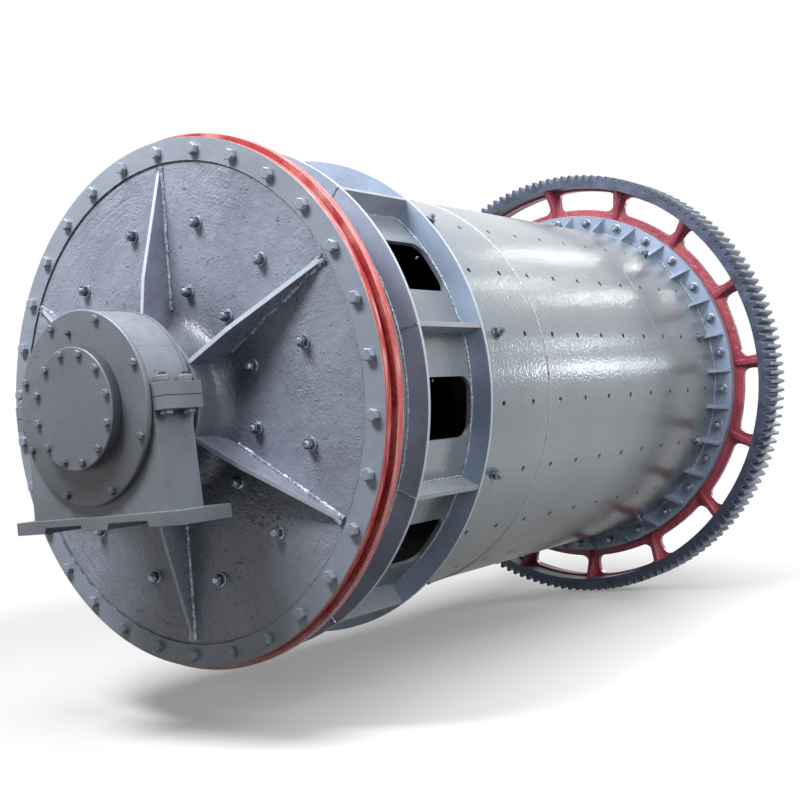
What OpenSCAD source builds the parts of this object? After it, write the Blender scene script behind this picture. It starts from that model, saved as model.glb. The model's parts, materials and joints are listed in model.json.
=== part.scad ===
// Rod mill, 2.1 m bore by 3.6 m: a welded drum on two pillow block bearings,
// with discharge ports round its front end and a girth gear round its rear end.
// Millimetres, +Z up. The drum's axis runs along +Y. The origin is the centre of the
// underside of the front bearing's base.

/* [Drum] */
// Inside diameter of the shell
shell_bore = 2100; // [1800:10:2400]
// Thickness of the shell plate
shell_t = 20; // [12:1:30]
// Length of the shell between its two end faces
shell_len = 3717; // [3200:1:4400]
// Turn of the drum at rest, from +X up towards +Z
drum_turn = -8.5; // [-30:0.1:30]
// Distance from the front end of the shell to the weld between its first two courses
first_course_len = 1452; // [1100:1:1700]
// Length of the middle course of the shell
middle_course_len = 1392; // [1000:1:1600]

/* [Flanges] */
// Height of the heads' flanges and of the shell's rear flange over the shell
flange_rise = 110; // [90:1:150]
// Height of the shell's front flange over the shell
front_flange_rise = 132; // [110:1:160]
// Thickness of a head's flange
head_flange_t = 52; // [40:1:70]
// Thickness of the shell's front flange
front_flange_t = 40; // [30:1:80]
// Gap where each head seats on the flange or web that it is bolted to
seat_gap = 0.1; // [0.05:0.05:0.5]
// Thickness of the shell's rear flange
rear_flange_t = 60; // [30:1:80]
// Depth of the groove round a head's edge, next to its seat
groove_depth = 14; // [8:1:28]
// Width of that groove
groove_w = 12; // [8:1:30]
// Number of gussets behind the rear flange
gusset_count = 30; // [20:1:36]
// Length of a gusset along the shell
gusset_len = 131; // [50:1:150]
// Thickness of a gusset
gusset_t = 18; // [10:1:25]
// Height of a gusset's blunt toe
gusset_toe = 14; // [6:1:30]
// Margin from a gusset's top to the flange's edge
gusset_margin = 4; // [2:1:30]

/* [Heads] */
// Width of the raised rim of a head
rim_w = 101; // [70:1:110]
// Height of the raised rim over the head's face
rim_rise = 8; // [4:1:25]
// Thickness of the head's plate
head_t = 70; // [50:1:90]
// Gap all round the head's spigot in the shell
spigot_gap = 1; // [0.8:0.1:2]
// Diameter of the hub on a head
hub_d = 650; // [580:10:720]
// Height of the hub over the head's face
hub_rise = 177; // [150:1:200]
// Radius of the fillet at the foot of the hub
hub_fillet = 90; // [40:1:110]
// Number of ribs on a head
rib_count = 6; // [4:1:8]
// Thickness of a rib
rib_t = 20; // [12:1:60]
// Gap between a rib's outer end and the raised rim
rib_margin = 27; // [10:1:60]
// Height of a rib at its outer end
rib_end_h = 8; // [4:1:40]
// Radius of the bend in a rib's edge
rib_knee_r = 560; // [460:1:700]
// Drop from the hub's face to a rib's edge at that bend
rib_knee_drop = 33; // [10:1:60]

/* [Discharge end] */
// Number of discharge ports round the shell
port_count = 10; // [6:1:12]
// Width of a port round the shell
port_w = 272; // [180:1:320]
// Gap between a port's end and a discharge ring
port_end_gap = 8; // [5:0.5:80]
// Radius of a port's corners
port_corner = 60; // [20:1:80]
// Distance from the shell's front end to the front discharge ring
front_ring_at = 246; // [120:1:300]
// Clear space between the two discharge rings
ring_space = 468; // [455:1:560]
// Height of a discharge ring over the shell
ring_rise = 105; // [80:1:140]
// Thickness of a discharge ring
ring_t = 16; // [10:1:25]
// Thickness of the ribs between the rings
port_rib_t = 22; // [12:1:40]
// Drop from the rings' edge to the ribs' edge
port_rib_drop = 5; // [2:1:40]

/* [Liner bolt holes] */
// Diameter of a hole
liner_hole_d = 28; // [20:1:40]
// Number of rows of holes round the shell
hole_rows = 20; // [10:1:24]
// Number of rings of holes in the discharge course, behind its ports
discharge_hole_rings = 2; // [2:1:3]
// Number of rings of holes in the middle course
middle_hole_rings = 5; // [3:1:8]
// Number of rings of holes in the rear course
rear_hole_rings = 3; // [2:1:4]

/* [Girth gear] */
// Number of teeth
teeth = 160; // [120:1:180]
// Pressure angle of the teeth
pressure_angle = 20; // [14.5:0.5:25]
// Face width of the gear
gear_face = 250; // [200:1:300]
// Thickness of the gear's seat between the shell and the rear head, with its seat gap
web_t = 60; // [40:1:80]
// How far the seat stands in front of the web's plate
web_seat = 25; // [10:1:35]
// How far the toothed rim stands in front of the seat
gear_overhang = 111; // [50:1:130]
// Thickness of the rim under the teeth
gear_rim_t = 42.5; // [28:0.5:55]
// Width of the web's edge under the rim
web_edge = 12; // [8:1:25]
// Number of arms across the web
arm_count = 16; // [12:1:20]
// Width of an arm in the plane of the web
arm_w = 82; // [50:1:110]
// Width of the ring of the web outside the flange
web_land = 50; // [40:1:110]
// Height of the web's openings
web_hole_h = 133; // [70:0.5:150]
// Radius of the openings' corners, as a part of half their height
web_corner_part = 0.7; // [0.3:0.05:0.95]
// Thickness of the ridges along an arm
ridge_t = 30; // [15:1:40]
// Height of the ridges at their toe beside the seat
ridge_toe = 6; // [3:1:20]
// Distance of the ridges' ends from the edges of the toothed rim
ridge_margin = 20; // [5:1:60]

/* [Bearings] */
// Diameter of the journals
journal_d = 400; // [340:10:440]
// Running gap round a journal
journal_gap = 0.05; // [0.02:0.01:0.1]
// Diameter of the feed bore through the rear journal
feed_bore = 290; // [200:10:310]
// Gap between the front journal's end and the end cover
journal_end_gap = 10; // [5:1:20]
// How far the rear journal's lip stands out of the outer ring cover
feed_lip = 30; // [10:1:60]
// Gap between the inner ring cover and the neck
neck_gap = 34; // [20:1:60]
// Diameter of the neck between a journal and its hub
neck_d = 500; // [460:10:560]
// Length of that neck
neck_len = 65; // [40:1:100]
// Length of the bearing housing
housing_len = 196; // [170:1:205]
// How far the housing reaches outward from the centre of its base plate
housing_front = 114; // [90:1:125]
// Outside diameter of the bearing cap
cap_d = 804; // [780:2:820]
// Width of the joint flanges beside the cap
joint_w = 80; // [60:1:110]
// Thickness of each joint flange
joint_t = 54; // [40:1:75]
// How far the base's body stands out past the cap at its foot
body_foot_w = 22; // [5:1:40]
// How far the base's body stands out past the cap under the joint flange
body_top_w = 10; // [5:1:40]
// How far the base plate stands out past the cap
base_w = 125; // [100:1:180]
// Length of the base plate
base_len = 267; // [250:1:300]
// Thickness of the base plate
base_t = 56; // [45:1:70]
// Gap between the base plate and the ring covers over it
cover_foot_gap = 44; // [10:1:150]
// Height of the recesses under the base plate
recess_h = 26; // [10:1:35]
// Width of the base plate's middle foot
mid_foot_w = 155; // [100:1:220]
// Width of each outer foot
end_foot_w = 189; // [170:1:240]
// Slope of a recess's ends, as a run over its height
recess_slope = 12; // [0:1:20]
// Diameter of the anchor holes
anchor_d = 33; // [20:1:36]
// Distance of the anchor holes from the ends of the base plate
anchor_inset = 50; // [30:1:60]
// Distance between the anchor holes along the base plate's length
anchor_span = 180; // [120:1:200]
// How far the ring covers stand out past the cap
cover_lip = 5; // [2:1:15]
// Thickness of the outer ring cover
outer_cover_t = 26; // [20:1:40]
// Thickness of the inner ring cover
inner_cover_t = 26; // [20:1:40]
// Gap between a ring cover and the journal
cover_gap = 5; // [5:0.5:10]
// Depth of the step round a ring cover's back
cover_step = 7; // [3:1:12]
// Thickness of the end cover
end_cover_t = 49; // [30:1:60]
// Diameter of the end cover
end_cover_d = 510; // [460:2:560]
// Chamfer round a cover's edge
cover_chamfer = 4; // [2:1:8]

/* [Hidden] */
$fn = 96;

// Overshoot of a cutting shape past the face that it cuts
cut = 5;
arc_step = 15;

shell_in = shell_bore / 2;
shell_out = shell_in + shell_t;
flange_r = shell_out + flange_rise;
front_flange_r = shell_out + front_flange_rise;
ring_r = shell_out + ring_rise;
spigot_r = shell_in - spigot_gap;
hub_r = hub_d / 2;
rib_end_r = flange_r - rim_w - rib_margin;
journal_r = journal_d / 2;
housing_bore_r = journal_r + journal_gap;
cap_r = cap_d / 2;
cover_r = cap_r + cover_lip;
axis_h = base_t + cover_foot_gap + cover_r;
joint_half_w = cap_r + joint_w;
body_foot_half_w = cap_r + body_foot_w;
body_top_half_w = cap_r + body_top_w;
base_half_w = cap_r + base_w;

// Stations along the axis, from the front bearing's centre
housing_back = housing_len - housing_front;
neck_y = housing_back + inner_cover_t + neck_gap;
hub_face = neck_y + neck_len;
head_face = hub_face + hub_rise;
head_back = head_face + head_t;
bearing_to_rim = head_face - rim_rise;
shell_front = bearing_to_rim + head_flange_t;
shell_rear = shell_front + shell_len;
first_weld = shell_front + first_course_len;
second_weld = first_weld + middle_course_len;
gear_rear = shell_rear + web_t;
rear_bearing_at = gear_rear + head_flange_t + bearing_to_rim;
front_ring_y = shell_front + front_ring_at;
rear_ring_y = front_ring_y + ring_t + ring_space;
port_mid = (front_ring_y + ring_t + rear_ring_y) / 2;
port_len = ring_space - 2 * port_end_gap;
outer_cover_y = -housing_front - outer_cover_t;
front_journal_reach = housing_front + outer_cover_t - journal_end_gap;
rear_journal_reach = housing_front + outer_cover_t + feed_lip;

// Rings of liner bolt holes, from the first to the last as parts of each course's free length
discharge_hole_span = [0.377, 0.765];
middle_hole_span = [0.078, 0.866];
rear_hole_span = [0.101, 0.729];
function ring_stations(y0, y1, span, count) = [for (k = [0 : count - 1])
    y0 + (y1 - y0) * (span[0] + (span[1] - span[0]) * k / (count - 1))];

// Radii of the gear, from the flange outward, and the module that they give the teeth
web_hole_in = flange_r + web_land;
web_hole_out = web_hole_in + web_hole_h;
rim_in = web_hole_out + web_edge;
root_r = rim_in + gear_rim_t;
dedendum = 1.25;
pitch_r = root_r / (1 - 2 * dedendum / teeth);
gear_module = 2 * pitch_r / teeth;
tip_r = pitch_r + gear_module;

// Angles of the drum's features, before the drum's turn
rib_first = 36;
port_first = 0;
port_rib_first = 180 / port_count;
hole_row_first = 0;
gusset_first = 180 / gusset_count;
arm_first = 8;

grey_paint = [0.50, 0.52, 0.54];
cast_grey = [0.54, 0.55, 0.60];
ring_blue = [0.49, 0.53, 0.62];
shell_silver = [0.74, 0.76, 0.78];
gear_red = [0.67, 0.24, 0.26];
tooth_slate = [0.30, 0.31, 0.37];

// The drum's axis becomes local Z, at a distance y from the front bearing
module on_axis(y = 0) {
    translate([0, y, axis_h]) rotate([-90, 0, 0]) children();
}

// As on_axis, with the drum's turn at rest
module on_drum(y = 0) {
    translate([0, y, axis_h]) rotate([0, -drum_turn, 0]) rotate([-90, 0, 0]) children();
}

// The rear end, as the mirror of the front end
module at_rear() {
    translate([0, rear_bearing_at, 0]) mirror([0, 1, 0]) children();
}

// Copies round the axis
module around(count, first) {
    for (k = [0 : count - 1]) rotate(-(first + k * 360 / count)) children();
}

module ring(r_in, r_out, t) {
    difference() {
        cylinder(r = r_out, h = t);
        translate([0, 0, -cut]) cylinder(r = r_in, h = t + 2 * cut);
    }
}

// A plate standing on the axis's radial plane, from an outline of radius and station
module radial_plate(outline, t) {
    rotate([90, 0, 0]) translate([0, 0, -t / 2]) linear_extrude(t) polygon(outline);
}

// Quarter arc that fills the corner between the hub and the head's face
function hub_arc() = [for (a = [0 : arc_step : 90])
    [hub_r + hub_fillet * (1 - cos(a)), head_face - hub_fillet * (1 - sin(a))]];

// The groove round a head's edge, as a quarter hollow from the edge to the seat
function groove_arc() = [for (a = [0 : arc_step : 90])
    [flange_r - groove_depth * sin(a), shell_front - groove_w * cos(a)]];

module head_shape(bore_r) {
    rotate_extrude() polygon(concat(
        [[bore_r, hub_face], [hub_r, hub_face]],
        hub_arc(),
        [[flange_r - rim_w, head_face], [flange_r - rim_w, bearing_to_rim], [flange_r, bearing_to_rim]],
        groove_arc(),
        [[spigot_r, shell_front], [spigot_r, head_back], [bore_r, head_back]]
    ));
}

module head_rib_shape() {
    outline = [
        [0, head_face], [0, hub_face], [hub_r, hub_face],
        [rib_knee_r, hub_face + rib_knee_drop], [rib_end_r, head_face - rib_end_h], [rib_end_r, head_face]
    ];
    around(rib_count, rib_first) difference() {
        radial_plate(outline, rib_t);
        head_core();
    }
}

// The hub and its fillet, which the ribs meet
module head_core() {
    rotate_extrude() polygon(concat(
        [[0, hub_face - cut], [hub_r, hub_face - cut], [hub_r, hub_face]],
        hub_arc(),
        [[hub_r + hub_fillet, head_face + cut], [0, head_face + cut]]
    ));
}

module trunnion_shape(bore_r, reach) {
    rotate_extrude() polygon([
        [bore_r, -reach], [journal_r, -reach], [journal_r, neck_y], [neck_d / 2, neck_y],
        [neck_d / 2, hub_face], [bore_r, hub_face]
    ]);
}

// A length of the shell, from station y0 to y1, with rings of liner bolt holes at stations
module shell_course(y0, y1, stations) {
    difference() {
        on_drum(y0) ring(shell_in, shell_out, y1 - y0);
        on_drum() for (y = stations) around(hole_rows, hole_row_first)
            translate([shell_in - shell_t, 0, y]) rotate([0, 90, 0])
                cylinder(d = liner_hole_d, h = 3 * shell_t);
    }
}

// A rectangle with round corners, about the origin
module rounded_plate(w, l, corner) {
    square([w - 2 * corner, l], center = true);
    square([w, l - 2 * corner], center = true);
    for (sx = [-1, 1], sy = [-1, 1])
        translate([sx * (w / 2 - corner), sy * (l / 2 - corner)]) circle(r = corner);
}

// A port's cutting shape, along the local X direction
module port_cut() {
    translate([shell_in - shell_t, 0, port_mid])
        rotate([0, 90, 0]) linear_extrude(3 * shell_t) rounded_plate(port_len, port_w, port_corner);
}

// An opening of the gear's web: a bent slot with round corners, as points in the web's plane
arm_mid_r = (web_hole_in + web_hole_out) / 2;
hole_half_w = (360 / arm_count / 2) * PI / 180 * arm_mid_r - arm_w / 2;
hole_half_h = web_hole_h / 2;
web_corner = web_corner_part * hole_half_h;
hole_side_points = 6;
function bent(u, v) = (arm_mid_r + v) * [cos(u / arm_mid_r * 180 / PI), sin(u / arm_mid_r * 180 / PI)];
function corner_arc(su, sv, a0) = [for (a = [a0 : 30 : a0 + 90])
    bent(su * (hole_half_w - web_corner) + web_corner * cos(a),
         sv * (hole_half_h - web_corner) + web_corner * sin(a))];
function side_run(v, from, to) = [for (k = [1 : hole_side_points - 1])
    bent(from + (to - from) * k / hole_side_points, v)];
side_half = hole_half_w - web_corner;
web_hole = concat(
    corner_arc(1, 1, 0), side_run(hole_half_h, side_half, -side_half),
    corner_arc(-1, 1, 90), corner_arc(-1, -1, 180),
    side_run(-hole_half_h, -side_half, side_half), corner_arc(1, -1, 270)
);

// Outline of an arm's ridges from the side: low beside the seat, nearly as wide as the rim where they meet it
ridge_outline = [
    [flange_r + ridge_toe, web_seat - ridge_toe], [rim_in + cut, ridge_margin - gear_overhang],
    [rim_in + cut, gear_face - gear_overhang - ridge_margin], [flange_r + ridge_toe, web_t + ridge_toe]
];

// Half angles of a tooth at its root and at its tip
half_pitch_w = PI * gear_module / 4;
root_half = (half_pitch_w + dedendum * gear_module * tan(pressure_angle)) / root_r * 180 / PI;
tip_half = (half_pitch_w - gear_module * tan(pressure_angle)) / tip_r * 180 / PI;
tooth_points = [[root_r, -root_half], [tip_r, -tip_half], [tip_r, tip_half], [root_r, root_half]];
tooth_ring = [for (k = [0 : teeth - 1], p = tooth_points)
    p[0] * [cos(360 * k / teeth + p[1]), sin(360 * k / teeth + p[1])]];

// An outline in X and Z, made a block between two stations along Y
module cross_block(y0, y1) {
    translate([0, y1, 0]) rotate([90, 0, 0]) linear_extrude(y1 - y0) children();
}

module housing_bore() {
    on_axis(-base_len) cylinder(r = housing_bore_r, h = 2 * base_len);
}

module bearing_base() {
    recess_in = mid_foot_w / 2;
    recess_out = base_half_w - end_foot_w;
    color(grey_paint) difference() {
        union() {
            cross_block(-base_len / 2, base_len / 2)
                translate([-base_half_w, 0]) square([2 * base_half_w, base_t]);
            cross_block(-housing_front, housing_back) polygon([
                [-body_foot_half_w, base_t], [body_foot_half_w, base_t],
                [body_top_half_w, axis_h - joint_t], [joint_half_w, axis_h - joint_t],
                [joint_half_w, axis_h], [-joint_half_w, axis_h],
                [-joint_half_w, axis_h - joint_t], [-body_top_half_w, axis_h - joint_t]
            ]);
        }
        housing_bore();
        for (side = [0, 1]) mirror([side, 0, 0]) {
            cross_block(-base_len / 2 - cut, base_len / 2 + cut) polygon([
                [recess_in, -cut], [recess_in, 0], [recess_in + recess_slope, recess_h],
                [recess_out - recess_slope, recess_h], [recess_out, 0], [recess_out, -cut]
            ]);
            for (sy = [-1, 1])
                translate([base_half_w - anchor_inset, sy * anchor_span / 2, -cut])
                    cylinder(d = anchor_d, h = base_t + 2 * cut);
        }
    }
}

module bearing_cap() {
    color(grey_paint) difference() {
        union() {
            intersection() {
                on_axis(-housing_front) cylinder(d = cap_d, h = housing_len);
                cross_block(-housing_front - cut, housing_back + cut)
                    translate([-cap_d, axis_h]) square([2 * cap_d, cap_d]);
            }
            cross_block(-housing_front, housing_back)
                translate([-joint_half_w, axis_h]) square([2 * joint_half_w, joint_t]);
        }
        housing_bore();
    }
}

// A ring cover with its back at local Z 0, stepped in where it meets the housing
module ring_cover(t) {
    hole_r = journal_r + cover_gap;
    color(grey_paint) rotate_extrude() polygon([
        [hole_r, 0], [hole_r, t], [cover_r - cover_chamfer, t], [cover_r, t - cover_chamfer],
        [cover_r, cover_step], [cover_r - cover_step, cover_step], [cover_r - cover_step, 0]
    ]);
}

module front_bearing_base() bearing_base();
module front_bearing_cap() bearing_cap();
module outer_cover() on_axis(-housing_front) mirror([0, 0, 1]) ring_cover(outer_cover_t);
module inner_cover() on_axis(housing_back) ring_cover(inner_cover_t);
module front_bearing_outer_cover() outer_cover();
module front_bearing_inner_cover() inner_cover();
module front_bearing_end_cover() {
    r = end_cover_d / 2;
    color(grey_paint) on_axis() rotate_extrude() polygon([
        [0, outer_cover_y], [0, outer_cover_y - end_cover_t],
        [r - cover_chamfer, outer_cover_y - end_cover_t],
        [r, outer_cover_y - end_cover_t + cover_chamfer], [r, outer_cover_y]
    ]);
}

module front_trunnion() color(cast_grey) on_drum() trunnion_shape(0, front_journal_reach);
module front_head() color(cast_grey) on_drum() head_shape(0);
module front_head_ribs() color(cast_grey) on_drum() head_rib_shape();

module front_shell_flange() {
    color(gear_red) on_drum(shell_front + seat_gap)
        ring(shell_out, front_flange_r, front_flange_t - seat_gap);
}

module discharge_course() {
    free_from = rear_ring_y + ring_t;
    stations = ring_stations(free_from, first_weld, discharge_hole_span, discharge_hole_rings);
    color(shell_silver) difference() {
        shell_course(shell_front, first_weld, stations);
        on_drum() around(port_count, port_first) port_cut();
    }
}

module discharge_front_ring() color(ring_blue) on_drum(front_ring_y) ring(shell_out, ring_r, ring_t);
module discharge_rear_ring() color(ring_blue) on_drum(rear_ring_y) ring(shell_out, ring_r, ring_t);

module discharge_ribs() {
    y0 = front_ring_y + ring_t;
    top = ring_r - port_rib_drop;
    color(ring_blue) on_drum() around(port_count, port_rib_first) difference() {
        radial_plate([[shell_in, y0], [top, y0], [top, rear_ring_y], [shell_in, rear_ring_y]], port_rib_t);
        translate([0, 0, y0 - cut]) cylinder(r = shell_out, h = ring_space + 2 * cut);
    }
}

module middle_course() {
    stations = ring_stations(first_weld, second_weld, middle_hole_span, middle_hole_rings);
    color(shell_silver) shell_course(first_weld, second_weld, stations);
}

module rear_course() {
    stations = ring_stations(second_weld, shell_rear, rear_hole_span, rear_hole_rings);
    color(shell_silver) shell_course(second_weld, shell_rear, stations);
}

module rear_shell_flange() {
    color(ring_blue) on_drum(shell_rear - rear_flange_t) ring(shell_out, flange_r, rear_flange_t);
}

module rear_flange_gussets() {
    y1 = shell_rear - rear_flange_t;
    y0 = y1 - gusset_len;
    outline = [
        [shell_in, y0], [shell_out + gusset_toe, y0], [flange_r - gusset_margin, y1], [shell_in, y1]
    ];
    color(ring_blue) on_drum() around(gusset_count, gusset_first) difference() {
        radial_plate(outline, gusset_t);
        translate([0, 0, y0 - cut]) cylinder(r = shell_out, h = gusset_len + 2 * cut);
    }
}

module girth_gear_web() {
    seat_back = web_t - seat_gap;
    color(gear_red) on_drum(shell_rear) difference() {
        intersection() {
            union() {
                cylinder(r = flange_r, h = seat_back);
                translate([0, 0, web_seat]) linear_extrude(seat_back - web_seat) difference() {
                    circle(r = rim_in + cut);
                    for (k = [0 : arm_count - 1])
                        rotate(-(arm_first + (k + 0.5) * 360 / arm_count)) polygon(web_hole);
                }
                around(arm_count, arm_first) radial_plate(ridge_outline, ridge_t);
            }
            translate([0, 0, -gear_overhang]) cylinder(r = rim_in, h = gear_face);
        }
        translate([0, 0, -cut]) cylinder(r = shell_in, h = web_t + 2 * cut);
    }
}

module girth_gear_rim() {
    color(tooth_slate) on_drum(shell_rear - gear_overhang) difference() {
        linear_extrude(gear_face) polygon(tooth_ring);
        translate([0, 0, -cut]) cylinder(r = rim_in, h = gear_face + 2 * cut);
    }
}

module rear_head() color(cast_grey) at_rear() on_drum() head_shape(feed_bore / 2);
module rear_head_ribs() color(cast_grey) at_rear() on_drum() head_rib_shape();
module rear_trunnion() color(cast_grey) at_rear() on_drum() trunnion_shape(feed_bore / 2, rear_journal_reach);

module rear_bearing_base() at_rear() bearing_base();
module rear_bearing_cap() at_rear() bearing_cap();
module rear_bearing_outer_cover() at_rear() outer_cover();
module rear_bearing_inner_cover() at_rear() inner_cover();

front_bearing_base();
front_bearing_cap();
front_bearing_outer_cover();
front_bearing_inner_cover();
front_bearing_end_cover();
front_trunnion();
front_head();
front_head_ribs();
front_shell_flange();
discharge_course();
discharge_front_ring();
discharge_rear_ring();
discharge_ribs();
middle_course();
rear_course();
rear_shell_flange();
rear_flange_gussets();
girth_gear_web();
girth_gear_rim();
rear_head();
rear_head_ribs();
rear_trunnion();
rear_bearing_base();
rear_bearing_cap();
rear_bearing_outer_cover();
rear_bearing_inner_cover();
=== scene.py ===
import json
import math
import random

import bpy
from mathutils import Matrix, Vector


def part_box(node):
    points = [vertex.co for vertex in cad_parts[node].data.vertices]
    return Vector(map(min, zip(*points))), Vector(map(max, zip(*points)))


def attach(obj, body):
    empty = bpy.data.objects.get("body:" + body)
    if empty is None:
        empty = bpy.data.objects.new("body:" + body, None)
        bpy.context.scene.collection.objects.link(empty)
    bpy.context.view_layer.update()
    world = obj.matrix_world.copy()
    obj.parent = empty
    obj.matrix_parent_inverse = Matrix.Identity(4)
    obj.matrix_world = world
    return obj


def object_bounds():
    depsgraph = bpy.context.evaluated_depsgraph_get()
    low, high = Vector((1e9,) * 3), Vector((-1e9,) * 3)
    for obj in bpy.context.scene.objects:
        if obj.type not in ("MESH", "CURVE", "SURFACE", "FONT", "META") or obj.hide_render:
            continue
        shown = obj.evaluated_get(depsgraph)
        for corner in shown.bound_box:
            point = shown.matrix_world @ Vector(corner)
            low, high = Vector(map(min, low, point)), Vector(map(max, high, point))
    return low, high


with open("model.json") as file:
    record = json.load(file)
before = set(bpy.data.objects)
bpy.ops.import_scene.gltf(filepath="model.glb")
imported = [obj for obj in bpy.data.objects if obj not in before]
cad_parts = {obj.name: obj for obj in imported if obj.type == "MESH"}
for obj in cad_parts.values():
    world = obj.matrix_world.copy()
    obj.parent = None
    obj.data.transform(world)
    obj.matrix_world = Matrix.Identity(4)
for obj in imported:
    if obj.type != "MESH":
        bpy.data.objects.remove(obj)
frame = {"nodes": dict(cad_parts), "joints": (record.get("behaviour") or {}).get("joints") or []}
cad_box = [list(corner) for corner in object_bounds()]
bpy.context.scene.view_settings.view_transform = "Standard"

# Bearing housings: a split pillow block at each end of the mill, its base and cap cast in iron,
# planed at the joint and brushed all over with a thick grey enamel.
axis_h = frame["joints"][0]["pos_m"][2]
rear_y = sum(corner[1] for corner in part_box("rear_bearing_base")) / 2
cap_seam_up = 0.213
joint_half_w, cap_seam_half_w = 0.0024, 0.0012


def shade(red, green, blue):
    """A colour given as it looks on a screen, from 0 to 255, made linear"""
    parts = [v / 255 for v in (red, green, blue)]
    return tuple(v / 12.92 if v <= 0.04045 else ((v + 0.055) / 1.055) ** 2.4 for v in parts) + (1.0,)


def add_node(tree, kind, inputs=None, **settings):
    """A node with its settings made, and its sockets set or linked"""
    made = tree.nodes.new(kind)
    for key, value in settings.items():
        setattr(made, key, value)
    for key, value in (inputs or {}).items():
        if isinstance(value, bpy.types.NodeSocket):
            tree.links.new(value, made.inputs[key])
        else:
            made.inputs[key].default_value = value
    return made


def begin_finish(name):
    """A new material, with its tree, its shader and the place of each point on the piece"""
    finish = bpy.data.materials.new(name)
    finish.use_nodes = True
    tree = finish.node_tree
    place = add_node(tree, "ShaderNodeTexCoord").outputs["Object"]
    return finish, tree, tree.nodes["Principled BSDF"], place


def split(tree, vector):
    """The three parts of a place or a direction"""
    return add_node(tree, "ShaderNodeSeparateXYZ", {0: vector}).outputs


def clouds(tree, place, scale, detail=4.0, rough=0.55, stretch=(1.0, 1.0, 1.0)):
    """Cloudy marks from 0 to 1, drawn out along the axes whose stretch is small"""
    drawn = add_node(tree, "ShaderNodeVectorMath", {0: place, 1: stretch}, operation="MULTIPLY").outputs[0]
    return add_node(tree, "ShaderNodeTexNoise",
                    {"Vector": drawn, "Scale": scale, "Detail": detail, "Roughness": rough}).outputs["Fac"]


def between(tree, value, low, high, start=0.0, stop=1.0):
    """A value's way from low to high, turned into one from start to stop"""
    return add_node(tree, "ShaderNodeMapRange", {"Value": value, "From Min": low, "From Max": high,
                                                 "To Min": start, "To Max": stop}).outputs["Result"]


def reckon(tree, operation, first, second):
    """A sum, product or other operation on two values"""
    return add_node(tree, "ShaderNodeMath", {0: first, 1: second}, operation=operation).outputs[0]


def times(tree, first, second):
    """The product of two values"""
    return reckon(tree, "MULTIPLY", first, second)


def plus(tree, first, second):
    """The sum of two values"""
    return reckon(tree, "ADD", first, second)


def near(tree, value, middle, reach):
    """1 where a value lies within reach of a middle, and 0 elsewhere"""
    return add_node(tree, "ShaderNodeMath", {0: value, 1: middle, 2: reach}, operation="COMPARE").outputs[0]


def mix_shades(tree, share, first, second):
    """The first colour, with a share of the second laid over it"""
    return add_node(tree, "ShaderNodeMix", {0: share, 6: first, 7: second}, data_type="RGBA").outputs[2]


def lay_relief(tree, shader, height, depth, edge_width):
    """A relief under soft edges; gives how sharply the surface turns, from 0 on flats to 1 on edges"""
    flat_cosine, edge_cosine = 0.985, 0.86
    rounded = add_node(tree, "ShaderNodeBevel", {"Radius": edge_width}, samples=4).outputs["Normal"]
    bump = add_node(tree, "ShaderNodeBump",
                    {"Height": height, "Strength": 1.0, "Distance": depth, "Normal": rounded})
    tree.links.new(bump.outputs["Normal"], shader.inputs["Normal"])
    flat = add_node(tree, "ShaderNodeNewGeometry").outputs["Normal"]
    turn = add_node(tree, "ShaderNodeVectorMath", {0: rounded, 1: flat}, operation="DOT_PRODUCT")
    return between(tree, turn.outputs["Value"], flat_cosine, edge_cosine)


def lay_coat(tree, shader, colour, roughness):
    """Gives a finish its colour and its roughness"""
    tree.links.new(colour, shader.inputs["Base Color"])
    tree.links.new(roughness, shader.inputs["Roughness"])


def housing_enamel(name, body_shade, thin_shade, gloss, unshaded_z, full_shade_z, shade_share, joint_share):
    """Brushed enamel, with painted shade towards the ground and a share of the dark lines at the joint"""
    finish, tree, shader, place = begin_finish(name)
    z = split(tree, place)[2]
    broad = clouds(tree, place, 4.0, detail=6.0)
    runs = clouds(tree, place, 5.0, stretch=(5.0, 5.0, 0.7))
    grain = clouds(tree, place, 160.0, detail=3.0)
    pits = between(tree, clouds(tree, place, 42.0, detail=2.0), 0.31, 0.25)
    height = plus(tree, times(tree, grain, 0.35), times(tree, broad, 0.9))
    height = reckon(tree, "SUBTRACT", height, times(tree, pits, 0.5))
    edge = lay_relief(tree, shader, height, depth=0.003, edge_width=0.0045)
    colour = mix_shades(tree, between(tree, broad, 0.35, 0.65), body_shade, thin_shade)
    colour = mix_shades(tree, between(tree, runs, 0.45, 0.75, 0.0, 0.35), colour, shade(116, 119, 132))
    # Edges lightened, partly as wear and partly as painted highlight.
    colour = mix_shades(tree, times(tree, edge, 0.7), colour, shade(184, 194, 200))
    colour = mix_shades(tree, times(tree, pits, 0.6), colour, shade(74, 76, 80))
    # Painted shade: the colour darkens towards the ground, by up to the given share of a dark grey.
    colour = mix_shades(tree, between(tree, z, unshaded_z, full_shade_z, 0.0, shade_share), colour, shade(44, 49, 53))
    joint = near(tree, z, axis_h, joint_half_w)
    cap_seam = near(tree, z, axis_h + cap_seam_up, cap_seam_half_w)
    line = reckon(tree, "MAXIMUM", joint, times(tree, cap_seam, 0.5))
    colour = mix_shades(tree, times(tree, line, joint_share), colour, shade(34, 36, 40))
    lay_coat(tree, shader, colour, between(tree, broad, 0.3, 0.7, gloss, gloss + 0.14))
    return finish


def finish_nodes(finish, *nodes):
    """Gives CAD nodes their finish in place of the plain one they came with"""
    for name in nodes:
        frame["nodes"][name].data.materials.clear()
        frame["nodes"][name].data.materials.append(finish)


housing_paint = housing_enamel("housing_enamel", shade(115, 121, 131), shade(134, 141, 151), gloss=0.32,
                               unshaded_z=0.30, full_shade_z=0.02, shade_share=0.25, joint_share=0.9)
finish_nodes(housing_paint, "front_bearing_base", "front_bearing_cap",
             "rear_bearing_base", "rear_bearing_cap")

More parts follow.
